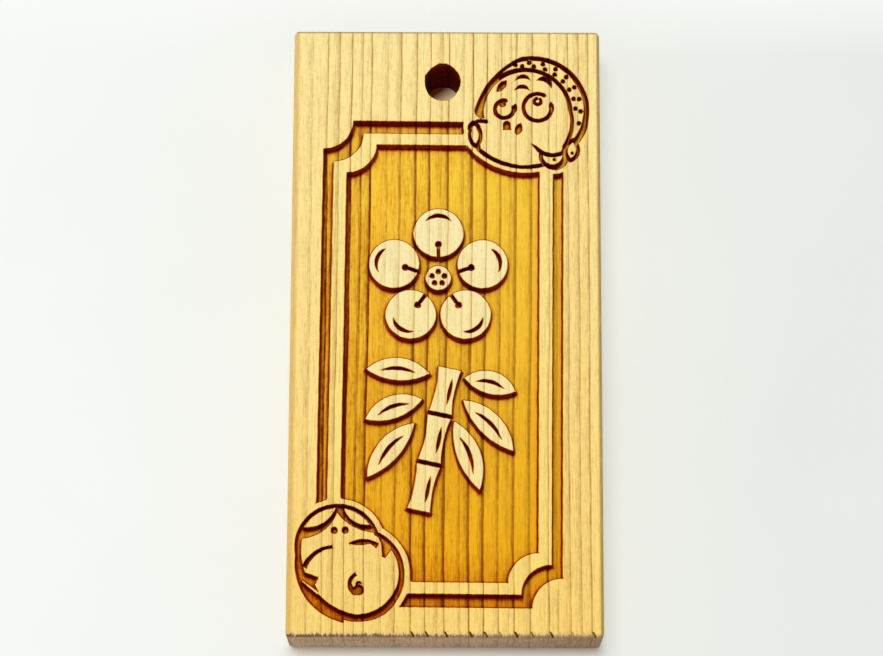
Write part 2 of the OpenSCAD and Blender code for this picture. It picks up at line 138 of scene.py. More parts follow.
# By the way a wall faces, -1 to the foot: scorch of wall, deepest as painted shade on walls facing the foot,
# away from the light; scorch of rim; and shortening of the fade, so that its painted shadow reaches furthest
# from walls facing the foot
WALL_BURN_AND_SHADE = [(-1.0, 1.0), (-0.3, 0.92), (0.3, 0.88), (1.0, 0.8)]
RIM_BURN = [(0.0, 0.0), (0.45, 1.0)]
FADE_SHORTER = [(-1.0, 0.9), (-0.3, 1.6), (0.3, 1.7), (1.0, 2.0)]
# Shortening along walls that face sideways, by place across the board
SIDEWAYS = 0.5
FADE_ACROSS = [(-11.0, 0.75), (6.0, 1.0)]
# Fine cuts: least scorch of a wall, and distance and scorch of a wide cut's middle
FINE_BURN = 0.5
CORE_IN = 0.2
CORE_SCORCH = 0.72

# The board's outside
ARRIS_R = 0.4
TOP_ARRIS_R = 0.1
CORNER_R = 0.5
FACE_INSET = 0.46
ARRIS_STEPS = 5
CORNER_STEPS = 6
SIDE_ROWS = 6
END_STEP = 0.12
SIDE_STEP = 0.5
SHARP_ANGLE = math.radians(35)
# Wear of the sawn ends: notches, rag, shares at the arris and low down, waves in x and z, powers
NOTCH = 0.16
RAG = 0.025
ARRIS_WORN = 0.35
LOW_TORN = 0.35
RAG_WAVES = [(0.0125, 19.0, 2.0, 0.0), (0.0125, 43.0, -3.0, 1.0)]
WEAR_POWER = 8
END_GRAIN_POWER = 1.5
ARRIS_GRAIN_POWER = 3

# Cord hole, worn to an oval
HOLE_POINTS = 96
HOLE_ROWS = 8
HOLE_EASE = 0.04
HOLE_WEAR = 0.15
HOLE_WEAR_POWER = 3
# Its rim's waves as size, count and phase, its wall's as size, count and turn, chips as angle, depth, width
HOLE_RAG = [(0.012, 5, 1), (0.008, 11, 2), (0.006, 23, 0)]
HOLE_WALL_WAVE = (0.015, 5, 9)
HOLE_CHIPS = [
    (101, 0.07, 6), (80, 0.06, 4), (135, -0.04, 12), (158, 0.06, 5), (-36, -0.06, 8), (-70, 0.03, 6)]
HOLE_RIM_SCORCH = 0.9
HOLE_BACK_SCORCH = 0.2

# Which nodes take which wood
BANDS = ["band_upper_left", "band_lower_right"]
MASKS = [
    "upper_mask_face", "upper_mask_scarf", "upper_mask_mouth", "upper_mask_knot", "upper_mask_tail",
    "lower_mask_face", "lower_mask_hair_left", "lower_mask_hair_right"]
RELIEF = sorted(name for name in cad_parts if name.startswith(("blossom", "bamboo")))
# Pieces that meet the board without a gap
MEETING = BANDS + ["upper_mask_face"]


# Plan geometry

def node_triangles(name):
    """Welded points in mm and triangles of a CAD node."""
    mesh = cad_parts[name].data
    mesh.calc_loop_triangles()
    points = np.empty(len(mesh.vertices) * 3, np.float32)
    mesh.vertices.foreach_get("co", points)
    triangles = np.empty(len(mesh.loop_triangles) * 3, np.int32)
    mesh.loop_triangles.foreach_get("vertices", triangles)
    points = (points.astype(float).reshape(-1, 3) / MM).round(4)
    welded, index = np.unique(points, axis=0, return_inverse=True)
    return welded, index.ravel()[triangles].reshape(-1, 3)


def top_outlines(name):
    """Closed outlines of a node's top face, each with the wood on its left."""
    points, triangles = node_triangles(name)
    on_top = (points[triangles][:, :, 2] > FACE_Z - LEVEL_TOLERANCE).all(axis=1)
    edges = {(int(t[i]), int(t[i - 2])) for t in triangles[on_top] for i in range(3)}
    after = {a: b for a, b in sorted(edges) if (b, a) not in edges}
    outlines = []
    while after:
        start, here = after.popitem()
        chain = [start]
        while here != start:
            chain.append(here)
            here = after.pop(here)
        outlines.append(points[chain, :2])
    return outlines


def along_profile(values, profile):
    """A profile of places and levels, read at the values."""
    return np.interp(values, *zip(*profile))


def waves(table, a, b):
    """Sum of a table's waves over two coordinates."""
    return sum(size * np.sin(per_a * a + per_b * b + phase) for size, per_a, per_b, phase in table)


def unit(vectors):
    return vectors / np.linalg.norm(vectors, axis=1)[:, None]


def circle(centre, radius, angles):
    """Points round a centre, at one radius or several."""
    around = np.column_stack([np.cos(angles), np.sin(angles)])
    return centre + around * np.broadcast_to(radius, len(angles))[:, None]


def signed_area(loop):
    ahead = np.roll(loop, -1, axis=0)
    return 0.5 * np.sum(loop[:, 0] * ahead[:, 1] - loop[:, 1] * ahead[:, 0])


def turns(ahead):
    """Angle between each direction of a loop and the one before it."""
    back = np.roll(ahead, 1, axis=0)
    return np.arccos(np.clip((ahead * back).sum(axis=1), -1, 1))


def rounded_chords(loop):
    """The loop's chords as short curves, and whether each chord starts at a corner."""
    ahead = np.roll(loop, -1, axis=0) - loop
    length = np.linalg.norm(ahead, axis=1)
    ahead = ahead / length[:, None]
    back = np.roll(ahead, 1, axis=0)
    back_length = np.roll(length, 1)
    corner = turns(ahead) > CORNER_TURN
    straight = length > LONGEST_CHORD
    tangent = unit(back * length[:, None] + ahead * back_length[:, None])
    smooth = np.where(np.roll(straight, 1)[:, None], back, np.where(straight[:, None], ahead, tangent))
    leave = np.where(corner[:, None], ahead, smooth)
    arrive = np.roll(np.where(corner[:, None], back, smooth), -1, axis=0)
    t = np.linspace(0, 1, CURVE_POINTS, endpoint=False)[:, None]
    h_end = t * t * (3 - 2 * t)
    h_leave = t * (1 - t) ** 2
    h_arrive = t * t * (t - 1)
    curves = []
    for i, start in enumerate(loop):
        end = loop[(i + 1) % len(loop)]
        curve = start + h_end * (end - start)
        curve = curve + length[i] * (h_leave * leave[i] + h_arrive * arrive[i])
        curves.append(start + t * (end - start) if straight[i] else curve)
    return curves, corner


def evenly(path, closed):
    """Points along an open path or round a closed one, about STEP apart."""
    if closed:
        path = np.vstack([path, path[:1]])
    along = np.concatenate([[0], np.cumsum(np.linalg.norm(np.diff(path, axis=0), axis=1))])
    count = max(FEWEST_ROUND if closed else FEWEST_OPEN, math.ceil(along[-1] / STEP))
    at = np.linspace(0, along[-1], count, endpoint=False)
    return np.column_stack([np.interp(at, along, path[:, k]) for k in (0, 1)])


def unfolded(loop):
    """A loop without doubled points and tiny folds."""
    gap = np.linalg.norm(np.roll(loop, -1, axis=0) - loop, axis=1)
    apart = gap > SAME_POINT
    loop, gap = loop[apart], gap[apart]
    ahead = unit(np.roll(loop, -1, axis=0) - loop)
    sharp = np.flatnonzero(turns(ahead) > FOLD_TURN)
    kept = np.ones(len(loop), bool)
    for first, last in zip(sharp[:-1], sharp[1:]):
        if gap[first:last].sum() < FOLD_L:
            kept[first:last] = False
    return loop[kept]


def refined(loop):
    """A loop with its arcs rounded, its points evenly spaced and its corners kept."""
    loop = unfolded(loop)
    curves, corner = rounded_chords(loop)
    if not corner.any():
        return evenly(np.vstack(curves), closed=True)
    first = int(np.argmax(corner))
    order = [(first + i) % len(loop) for i in range(len(loop))]
    runs, run = [], []
    for i in order:
        if corner[i] and run:
            runs.append(np.vstack(run + [loop[i:i + 1]]))
            run = []
        run.append(curves[i])
    runs.append(np.vstack(run + [loop[first:first + 1]]))
    return np.vstack([evenly(run, closed=False) for run in runs])


def outlines_of(name):
    """A node's top outlines with the small waviness of cut edges."""
    loops = [refined(loop) for loop in top_outlines(name)]
    return [
        loop + np.column_stack([waves(EDGE_WAVES_X, *loop.T), waves(EDGE_WAVES_Y, *loop.T)])
        for loop in loops]


def into_wood(loop):
    """Mitred direction into the wood at each point of a loop."""
    ahead = unit(np.roll(loop, -1, axis=0) - loop)
    left = np.column_stack([-ahead[:, 1], ahead[:, 0]])
    middle = unit(left + np.roll(left, 1, axis=0) + TINY)
    return middle / np.clip((middle * left).sum(axis=1), 1 / MITRE_LIMIT, None)[:, None]


def tree_of(loops):
    points = np.vstack(loops)
    tree = KDTree(len(points))
    for i, (x, y) in enumerate(points):
        tree.insert((x, y, 0), i)
    tree.balance()
    return tree


def dense(loop, parts=6):
    """The loop with each of its edges cut into equal parts."""
    ahead = np.roll(loop, -1, axis=0) - loop
    shares = np.linspace(0, 1, parts, endpoint=False)[:, None, None]
    return (loop + shares * ahead).reshape(-1, 2)


def nearest(points, tree):
    """Distance and number of the nearest point in a tree."""
    found = [tree.find((x, y, 0)) for x, y in points]
    distance = np.array([entry[2] for entry in found])
    number = np.array([entry[1] for entry in found])
    return distance, number


def distances(points, tree):
    return nearest(points, tree)[0]


def facing_along(loop):
    """How far each wall point faces along the grain, from -1 to 1."""
    return -unit(into_wood(loop))[:, 1]


# Scorch of a wall, deepest as painted shade where it faces the foot, away from the light
def wall_burn_and_shade(loop):
    return along_profile(facing_along(loop), WALL_BURN_AND_SHADE)


def offset(loop, distance, tree):
    """The loop moved into the wood, and which points stay clear of other walls."""
    distance = np.broadcast_to(distance, len(loop))
    moved = loop + into_wood(loop) * distance[:, None]
    return moved, distances(moved, tree) > KEPT_SHARE * np.abs(distance) - KEPT_SLACK


def inside(points, loops):
    """Whether each point lies inside an odd number of loops."""
    odd = np.zeros(len(points), bool)
    for loop in loops:
        ahead = np.roll(loop, -1, axis=0)
        for (x0, y0), (x1, y1) in zip(loop, ahead):
            spans = (points[:, 1] < y0) != (points[:, 1] < y1)
            if y0 != y1 and spans.any():
                odd ^= spans & (points[:, 0] < x0 + (points[:, 1] - y0) * (x1 - x0) / (y1 - y0))
    return odd


# Annual rings

def ring_sway(x, y):
    """How far a ring line stands right of its place at the board's middle."""
    share = np.clip((LEAN_END - np.abs(x)) / LEAN_FADE, 0, 1)
    lean = LEAN_SHIFT + LEAN_SIZE * np.sin(LEAN_TURN * y)
    return share * lean + sum(size * np.sin(turn * y + phase) for size, turn, phase in SWAYS)


def ring_ridge(x, y):
    """How proud the late wood stands at points, from 0 to each ring's strength."""
    phase = np.interp(x - ring_sway(x, y), RING_X, np.arange(len(RING_X)))
    cell = np.minimum(phase.astype(int), len(RING_X) - 2)
    return along_profile(phase - cell, RIDGE_PROFILE) * RING_STRENGTH[cell + 1]


def ground_height(points):
    """The sunk ground with its late wood left proud."""
    x, y = points.T
    return GROUND_Z + waves(GROUND_WAVES, x, y) + RIDGE_H * ring_ridge(x, y)


def ground_points():
    """Points in columns along the rings, over the whole board."""
    cells = np.arange(len(RING_X) - 1)[:, None] + np.array(COLUMN_STEPS)
    across = np.interp(cells.ravel(), np.arange(len(RING_X)), RING_X)
    rows = np.arange(-HALF_L + ROW_MARGIN, HALF_L - ROW_MARGIN, ROW_STEP)
    u, y = (grid.ravel() for grid in np.meshgrid(across, rows))
    y = y + waves(ROW_WAVES, u, y)
    return np.column_stack([u + ring_sway(u, y), y])


def char_and_shadow(points, distance, facing):
    """Scorch of the ground at a distance from a wall, by the way it faces along the grain: charring, with
    painted shadow reaching furthest from walls facing the foot, away from the light.
    """
    across = along_profile(points[:, 0], FADE_ACROSS)
    shorter = along_profile(facing, FADE_SHORTER) * np.where(np.abs(facing) < SIDEWAYS, across, 1.0)
    return along_profile(distance * shorter, CHAR_AND_SHADOW_FADE) + along_profile(points[:, 1], GRAIN_BURN)


# Meshes

def triangulated(points, edges, outer, holes):
    """Plan points, triangles between outer and holes, and the given points behind each plan point."""
    faces = [outer] + [list(reversed(hole)) for hole in holes]
    plan, _, triangles, origins, _, sources = delaunay_2d_cdt(points, edges, faces, 1, PLAN_EPSILON)
    kept = [t for t, source in zip(triangles, sources) if list(source) == [0]]
    return plan, kept, origins


def linked(name, data):
    """A new object in the scene."""
    obj = bpy.data.objects.new(name, data)
    bpy.context.scene.collection.objects.link(obj)
    return obj


class Relief:
    """Plan points of a carved surface, each with a height and a charring that also carries painted shade
    near walls.
    """

    def __init__(self):
        self.points = []
        self.heights = []
        self.scorch_and_shade = []
        self.edges = []

    def scatter(self, points, height, scorch_and_shade):
        """Adds loose points."""
        first = len(self.points)
        self.points.extend(Vector(point) for point in points)
        self.heights.extend(np.broadcast_to(height, len(points)))
        self.scorch_and_shade.extend(np.broadcast_to(scorch_and_shade, len(points)))
        return list(range(first, len(self.points)))

    def ring(self, points, height, scorch_and_shade, fits=None):
        """Adds the points of a ring that fit, joined where neighbours do."""
        fits = np.ones(len(points), bool) if fits is None else fits
        height = np.broadcast_to(height, len(points))[fits]
        scorch_and_shade = np.broadcast_to(scorch_and_shade, len(points))[fits]
        made = self.scatter(points[fits], height, scorch_and_shade)
        number = dict(zip(np.flatnonzero(fits), made))
        for i in number:
            after = (i + 1) % len(points)
            if after in number:
                self.edges.append((number[i], number[after]))
        return made


class Shell:
    """A closed mesh in the making."""

    def __init__(self):
        self.points = []
        self.faces = []
        self.scorch_and_shade = []
        self.end_grain = []

    def add(self, points, scorch_and_shade, end_grain=0.0):
        first = len(self.points)
        self.points.extend(tuple(point) for point in points)
        self.scorch_and_shade.extend(np.broadcast_to(scorch_and_shade, len(points)))
        self.end_grain.extend(np.broadcast_to(end_grain, len(points)))
        return list(range(first, len(self.points)))

    def add_ring(self, plan, z, scorch_and_shade, end_grain=0.0):
        heights = np.broadcast_to(z, len(plan))
        return self.add(np.column_stack([plan, heights]), scorch_and_shade, end_grain)

    def strip(self, upper, lower):
        """Quads between two rings, seen from the right of their direction."""
        for i in range(len(upper)):
            k = (i + 1) % len(upper)
            self.faces.append((upper[i], lower[i], lower[k], upper[k]))

    def relief(self, surface, outer, holes=()):
        """Adds a carved surface, and returns where its points went."""
        plan, triangles, origins = triangulated(surface.points, surface.edges, outer, holes)
        tree = tree_of([np.array(surface.points)])
        chosen = [
            min(found, key=lambda i: surface.heights[i]) if found else tree.find((p.x, p.y, 0))[1]
            for p, found in zip(plan, origins)]
        points = [(p.x, p.y, surface.heights[i]) for p, i in zip(plan, chosen)]
        where = self.add(points, [surface.scorch_and_shade[i] for i in chosen])
        self.faces.extend(tuple(where[i] for i in t) for t in triangles)
        return {i: where[k] for k, found in enumerate(origins) for i in found}

    def floor(self, outer, holes=()):
        """Closes the underside of rings that are already in the mesh."""
        ids = outer + [i for hole in holes for i in hole]
        plan = [Vector(self.points[i][:2]) for i in ids]
        rings = [[ids.index(i) for i in ring] for ring in [outer, *holes]]
        made, triangles, origins = triangulated(plan, [], rings[0], rings[1:])
        level = self.points[outer[0]][2]
        where = []
        for point, found in zip(made, origins):
            where.append(ids[found[0]] if found else self.add([(point.x, point.y, level)], 1.0)[0])
        self.faces.extend(tuple(where[i] for i in reversed(triangle)) for triangle in triangles)

    def piece(self, name, material):
        """The finished mesh object."""
        mesh = bpy.data.meshes.new(name)
        points = np.array(self.points) * MM
        mesh.from_pydata(points.tolist(), [], self.faces)
        for label, values in (("scorch_and_shade", self.scorch_and_shade), ("end_grain", self.end_grain)):
            attribute = mesh.attributes.new(label, "FLOAT", "POINT")
            attribute.data.foreach_set("value", np.array(values, np.float32))
        mesh.validate()
        mesh.shade_smooth()
        mesh.set_sharp_from_angle(angle=SHARP_ANGLE)
        mesh.materials.append(material)
        return linked(name, mesh)


def place(obj, node):
    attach(obj, "root")
    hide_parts(node)


def wall_rings(surface, loop, tree, ease, foot_z, burn_and_shade):
    """Adds a burnt rim, an eased edge and a leaning wall, and returns the wall's foot."""
    rim = along_profile(facing_along(loop), RIM_BURN)
    face, fits = offset(loop, (EASE + RIM_W) * ease, tree)
    surface.ring(face, FACE_Z, 0.0, fits)
    brow, fits = offset(loop, EASE * ease, tree)
    surface.ring(brow, FACE_Z, np.where(ease > FLUSH, rim, 0.0), fits)
    # The eased edge and the foot take the wall's scorch, with its painted shade
    edge_scorch_and_shade = np.where(ease > FLUSH, np.maximum(EDGE_SCORCH * burn_and_shade, rim), 0.0)
    surface.ring(loop, FACE_Z - EASE * ease, edge_scorch_and_shade)
    foot, fits = offset(loop, -DRAFT * ease, tree)
    height = foot_z(foot) if callable(foot_z) else foot_z
    return surface.ring(foot, height, burn_and_shade, fits)


def flush_joint(loop, other_tree):
    """Share of easing along a loop: almost none against another piece."""
    if other_tree is None:
        return np.ones(len(loop))
    return np.where(distances(loop, other_tree) < TOUCHING, FLUSH, 1.0)


def fine_cut(surface, loop, tree, ease):
    """Adds a fine cut into a piece's top, with a paler middle where it is wide."""
    # A fine cut's walls keep half of that painted shade
    burn_and_shade = FINE_BURN + (1 - FINE_BURN) * wall_burn_and_shade(loop)
    wall_rings(surface, loop, tree, ease, LINE_Z, burn_and_shade)
    core, fits = offset(loop, -CORE_IN, tree)
    core = core[fits & inside(core, [loop])]
    surface.scatter(core, LINE_Z, CORE_SCORCH)


def let_in_piece(node, loops, material, other_tree):
    """A let-in piece: eased top, leaning walls, fine cuts and a flat underside."""
    surface = Relief()
    tree = tree_of(loops)
    outer = None
    for loop in loops:
        ease = flush_joint(loop, other_tree)
        if signed_area(loop) > 0:
            # The outer wall's scorch carries painted shade on the side facing the foot
            outer = wall_rings(surface, loop, tree, ease, FOOT_Z, wall_burn_and_shade(loop))
        else:
            fine_cut(surface, loop, tree, ease)
    shell = Shell()
    where = shell.relief(surface, outer)
    foot = [where[i] for i in outer]
    plan = np.array([shell.points[i][:2] for i in foot])
    base = shell.add_ring(plan + SEAT_IN * into_wood(plan), SEAT_Z, 1.0)
    shell.strip(foot, base)
    shell.floor(base)
    place(shell.piece("carved_" + node, material), node)


def perimeter():
    """The board's outline in plan, anticlockwise, and the way each point faces."""
    core_w, core_l = HALF_W - CORNER_R, HALF_L - CORNER_R
    sides = [(core_w, core_l, END_STEP), (core_l, core_w, SIDE_STEP)]
    angles = np.linspace(0, math.pi / 2, CORNER_STEPS, endpoint=False)
    places, facings = [], []
    for quarter in range(4):
        turn = quarter * math.pi / 2
        along = np.array([math.cos(turn), math.sin(turn)])
        out = np.array([along[1], -along[0]])
        run, reach, step = sides[quarter % 2]
        straight = np.linspace(-run, run, math.ceil(2 * run / step), endpoint=False)
        for t, angle in [(t, 0.0) for t in straight] + [(run, angle) for angle in angles]:
            facing = out * math.cos(angle) + along * math.sin(angle)
            places.append(along * t + out * reach + CORNER_R * facing)
            facings.append(facing)
    return np.array(places), np.array(facings)


def end_wear(plan, facing, z):
    """How far the sawn ends fall back: notches at the late wood, and a ragged cut."""
    x, y = plan.T
    torn = NOTCH * ring_ridge(x, y) ** 2 * (y < 0)
    torn = torn * np.where(z > GROUND_Z, 1.0, LOW_TORN)
    rag = RAG + waves(RAG_WAVES, x, z)
    depth = np.clip((FACE_Z - z) / ARRIS_R, 0, 1)
    at_end = np.abs(facing[:, 1]) ** WEAR_POWER
    return at_end * (torn + rag) * (ARRIS_WORN + (1 - ARRIS_WORN) * depth)


def outside_profile(facing):
    """The outside from the face down: inset, level, share of end grain."""
    radius = ARRIS_R + (TOP_ARRIS_R - ARRIS_R) * np.clip(facing[:, 1], 0, 1)
    angles = np.linspace(0, math.pi / 2, ARRIS_STEPS + 1)
    profile = []
    for a in angles:
        share = math.sin(a) ** ARRIS_GRAIN_POWER
        profile.append((radius * (1 - math.sin(a)), FACE_Z - radius * (1 - math.cos(a)), share))
    for z in np.linspace(FACE_Z - ARRIS_R, ARRIS_R, SIDE_ROWS + 1)[1:-1]:
        profile.append((0.0, z, 1.0))
    for a in reversed(angles):
        profile.append((ARRIS_R * (1 - math.sin(a)), ARRIS_R * (1 - math.cos(a)), 1.0))
    return profile


def board_outside(shell, top, plan, facing):
    """Arrises, sides and underside, from the top face's outer ring down."""
    above = top
    end_share = np.abs(facing[:, 1]) ** END_GRAIN_POWER
    for inset, z, share in outside_profile(facing):
        back = inset + end_wear(plan, facing, z)
        ring = shell.add_ring(plan - facing * back[:, None], z, 0.0, end_share * share)
        shell.strip(above, ring)
        above = ring
    inner = shell.add_ring(plan - facing * FACE_INSET, 0.0, 0.0)
    shell.strip(above, inner)
    return inner


def cord_hole(board_loops):
    """The smallest opening in the board's face."""
    return max((loop for loop in board_loops if signed_area(loop) < 0), key=signed_area)


def rim_wear(angles):
    """How far the cord hole's rim is worn back."""
    wear = HOLE_WEAR * np.sin(angles) ** 2
    for size, count, phase in HOLE_RAG:
        wear = wear + size * np.sin(count * angles + phase)
    for at, depth, width in HOLE_CHIPS:
        away = (np.degrees(angles) - at + 180) % 360 - 180
        wear = wear + depth * np.exp(-(away / width) ** 2)
    return wear


def hole_rings(shell, top, centre, radius, angles, wear):
    """The cord hole's wall, from its rim down to the back."""
    size, count, turn = HOLE_WALL_WAVE
    above = top
    for depth in np.linspace(0, 1, HOLE_ROWS + 1):
        z = (FACE_Z - HOLE_EASE) * (1 - depth) + HOLE_EASE * depth
        r = radius + wear * (1 - depth) ** HOLE_WEAR_POWER + size * np.sin(count * angles + turn * depth)
        scorch_and_shade = HOLE_RIM_SCORCH if depth == 0 else 1.0
        ring = shell.add_ring(circle(centre, r, angles), z, scorch_and_shade)
        shell.strip(above, ring)
        above = ring
    back = shell.add_ring(circle(centre, radius + HOLE_EASE, angles), 0.0, HOLE_BACK_SCORCH)
    shell.strip(above, back)
    return back


def sunk_walls(surface, sunk, sunk_tree, meeting_tree):
    """Adds the walls round the sunk ground, and returns their feet."""
    feet = []
    for loop in sunk:
        ease = flush_joint(loop, meeting_tree)
        # Each wall's scorch carries painted shade on the side facing the foot
        ring = wall_rings(surface, loop, sunk_tree, ease, ground_height, wall_burn_and_shade(loop))
        feet.append(np.array([surface.points[i] for i in ring]))
    return feet


def seats(surface, piece_loops, sunk_tree, walls):
    """Adds the seats of the let-in pieces, and returns their edges in the ground."""
    feet = []
    for name, loop in piece_loops.items():
        reach = np.full(len(loop), DRAFT)
        if name in MEETING:
            reach = np.where(distances(loop, sunk_tree) < TOUCHING, -TUCK, DRAFT)
        foot = loop - into_wood(loop) * reach[:, None]
        fits = distances(foot, walls) > FOOT_CLEAR
        # The ground at a piece's foot takes its wall's scorch, with painted shade
        surface.ring(foot, ground_height(foot), wall_burn_and_shade(loop), fits)
        foot = foot[fits]
        surface.ring(foot + SEAT_IN * into_wood(foot), SEAT_Z, 1.0)
        feet.append(foot)
    return feet


def sunk_ground(surface, feet, wall_loops, walls):
    """Adds the ground between the walls, with rows of points close to them."""
    ground = [ground_points()]
    for foot in feet:
        away = into_wood(foot)
        for step in NEAR_WALL:
            ground.append((foot - away * step)[::2])
    ground = np.vstack(ground)
    ground = ground[inside(ground, feet)]
    to_wall, wall = nearest(ground, walls)
    clear = to_wall > DRAFT + GROUND_CLEAR
    ground, to_wall, wall = ground[clear], to_wall[clear], wall[clear]
    facing = np.concatenate([facing_along(loop) for loop in wall_loops])
    # Charring of the ground, with painted shadow beside walls facing the foot
    surface.scatter(ground, ground_height(ground), char_and_shadow(ground, to_wall, facing[wall]))


def board_piece(board_loops, piece_loops, material):
    """The board: face, sunk ground with its seats, cord hole, edges and back."""
    outer = max(board_loops, key=signed_area)
    hole = cord_hole(board_loops)
    sunk = [loop for loop in board_loops if loop is not outer and loop is not hole]
    meeting_tree = tree_of([dense(piece_loops[name]) for name in MEETING])
    sunk_tree = tree_of([dense(loop) for loop in sunk])
    wall_loops = sunk + list(piece_loops.values())
    walls = tree_of(wall_loops)

    surface = Relief()
    feet = sunk_walls(surface, sunk, sunk_tree, meeting_tree)
    feet.extend(seats(surface, piece_loops, sunk_tree, walls))
    sunk_ground(surface, feet, wall_loops, walls)
    angles = np.linspace(0, 2 * math.pi, HOLE_POINTS, endpoint=False)
    centre = hole.mean(axis=0)
    radius = np.linalg.norm(hole - centre, axis=1).mean()
    wear = rim_wear(angles)
    rim = surface.ring(circle(centre, radius + HOLE_EASE + wear, angles), FACE_Z, 0.0)
    plan, facing = perimeter()
    edge = surface.ring(plan - facing * FACE_INSET, FACE_Z, 0.0)

    shell = Shell()
    where = shell.relief(surface, edge, [list(reversed(rim))])
    inner = board_outside(shell, [where[i] for i in edge], plan, facing)
    top = [where[i] for i in reversed(rim)]
    back = hole_rings(shell, top, centre, radius, angles[::-1], wear[::-1])
    shell.floor(inner, [back])
    place(shell.piece("carved_board", material), "board")


# Materials

def srgb(red, green, blue):
    """A colour written in 0 to 255 as linear RGBA."""
    channels = np.array([red, green, blue]) / 255
    linear = np.where(channels <= 0.04045, channels / 12.92, ((channels + 0.055) / 1.055) ** 2.4)
    return (*linear, 1.0)


class Graph:
    """Short forms for building a material's nodes, with the place on the object in mm."""

    def __init__(self, material):
        material.use_nodes = True
        self.nodes = material.node_tree.nodes
        self.links = material.node_tree.links
        self.shader = self.nodes["Principled BSDF"]
        coordinates = self.node("TexCoord").outputs["Object"]
        self.place = self.stretched(coordinates, (1 / MM, 1 / MM, 1 / MM))
        self.x, self.y, self.z = self.node("SeparateXYZ", self.place).outputs

    def feed(self, socket, source):
        if isinstance(source, bpy.types.NodeSocket):
            self.links.new(source, socket)
        else:
            socket.default_value = source

    def node(self, kind, *sources):
        """A new node with its first sockets fed."""
        node = self.nodes.new("ShaderNode" + kind)
        for socket, source in zip(node.inputs, sources):
            self.feed(socket, source)
        return node

    def math(self, operation, a, b=0.0, clamp=False):
        node = self.node("Math", a, b)
        node.operation = operation
        node.use_clamp = clamp
        return node.outputs[0]

    def chain(self, operation, first, *others):
        for other in others:
            first = self.math(operation, first, other)
        return first

    def scaled(self, value, gain, plus=0.0, clamp=False):
        """value * gain + plus"""
        return self.math("ADD", self.math("MULTIPLY", value, gain), plus, clamp)

    def between(self, value, zero, one):
        """0 up to the first level, rising to 1 at the second and beyond."""
        return self.scaled(value, 1 / (one - zero), -zero / (one - zero), clamp=True)

    def product(self, *values):
        return self.chain("MULTIPLY", *values)

    def total(self, *values):
        return self.chain("ADD", *values)

    def highest(self, *values):
        return self.chain("MAXIMUM", *values)

    def clamped(self, value, gain=1.0):
        """value * gain, from 0 to 1"""
        return self.math("MULTIPLY", value, gain, clamp=True)

    def attribute(self, name):
        node = self.node("Attribute")
        node.attribute_name = name
        return node.outputs["Fac"]

    def stretched(self, vector, scale):
        node = self.node("VectorMath", vector, scale)
        node.operation = "MULTIPLY"
        return node.outputs[0]

    def noise(self, scale, detail, size=1.0):
        """Noise about 0 of a full size, with cells per mm given for each axis."""
        node = self.node("TexNoise", self.stretched(self.place, scale))
        node.inputs["Scale"].default_value = 1.0
        node.inputs["Detail"].default_value = detail
        node.inputs["Roughness"].default_value = NOISE_ROUGHNESS
        return self.scaled(node.outputs["Fac"], size, -0.5 * size)

    def curve(self, factor, points):
        node = self.node("FloatCurve", 1.0, factor)
        line = node.mapping.curves[0]
        line.points[0].location = points[0]
        line.points[1].location = points[-1]
        for x, y in points[1:-1]:
            line.points.new(x, y)
        for point in line.points:
            point.handle_type = "VECTOR"
        node.mapping.update()
        return node.outputs[0]

    def ramp(self, factor, stops):
        node = self.node("ValToRGB", factor)
        elements = node.color_ramp.elements
        elements[0].position, elements[0].color = stops[0]
        elements[1].position, elements[1].color = stops[-1]
        for position, colour in stops[1:-1]:
            elements.new(position).color = colour
        return node.outputs[0]

    def mix(self, factor, a, b, blend="MIX"):
        node = self.node("Mix", factor)
        node.data_type = "RGBA"
        node.blend_type = blend
        self.feed(node.inputs[6], a)
        self.feed(node.inputs[7], b)
        return node.outputs[2]


# Woods: tones of bare early and late wood, and how speckled they are
WOODS = {
    "board_wood": (srgb(255, 232, 159), srgb(168, 119, 38), 2.1),
    "band_wood": (srgb(255, 235, 156), srgb(184, 141, 54), 2.1),
    "mask_wood": (srgb(253, 230, 157), srgb(178, 134, 50), 2.1),
    # The relief's pale tones: its own paler wood, made paler still as painted light of the board's brightly
    # lit middle
    "relief_wood": (srgb(252, 241, 190), srgb(206, 176, 104), 3.6)}
# Tones of early and late wood from the scorched ground to char
EARLY = [
    (0.5, srgb(255, 210, 62)), (0.62, srgb(240, 166, 44)), (0.8, srgb(186, 84, 20)), (1.0, srgb(136, 12, 8))]
LATE = [
    (0.5, srgb(124, 38, 0)), (0.62, srgb(114, 32, 6)), (0.8, srgb(104, 20, 6)), (1.0, srgb(100, 6, 5))]
WARM = srgb(250, 208, 116)
EMBER = srgb(240, 164, 40)
SUNNY = srgb(255, 216, 70)
FOOT_TINT = srgb(252, 238, 200)
GROUND_FOOT_TINT = srgb(240, 204, 72)
END_EARLY = srgb(208, 178, 146)
END_LATE = srgb(146, 110, 80)
END_RIGHT_TINT = srgb(222, 216, 206)
TORN = srgb(80, 46, 2)

# Noises: roughness, then cells per mm across, along and through the board, detail, and size
NOISE_ROUGHNESS = 0.55
FIBRE = ((9.0, 0.35, 9.0), 4.0)
COARSE = ((3.0, 0.2, 3.0), 3.0)
MOTTLE = ((3.4, 1.5, 3.4), 3.0)
GRIT = ((7.0, 5.0, 7.0), 2.0)
WARMTH = ((0.5, 0.012, 0.5), 2.0, 2.0)
EMBERS = ((0.9, 0.09, 0.9), 3.0, 2.0)
WANDER = ((1.2, 0.25, 1.2), 3.0, 0.1)
RING_FADES = ((1.0, 0.12, 1.0), 3.0, 0.9)
PORES = ((5.0, 0.6, 0.35), 4.0, 2.2)
BLOTCHES = ((0.5, 0.1, 0.3), 2.0, 0.9)
RAGGED = ((4.5, 0.5, 1.0), 3.0)
TORN_FIBRES = ((7.0, 1.6, 2.0), 3.0, 4.2)

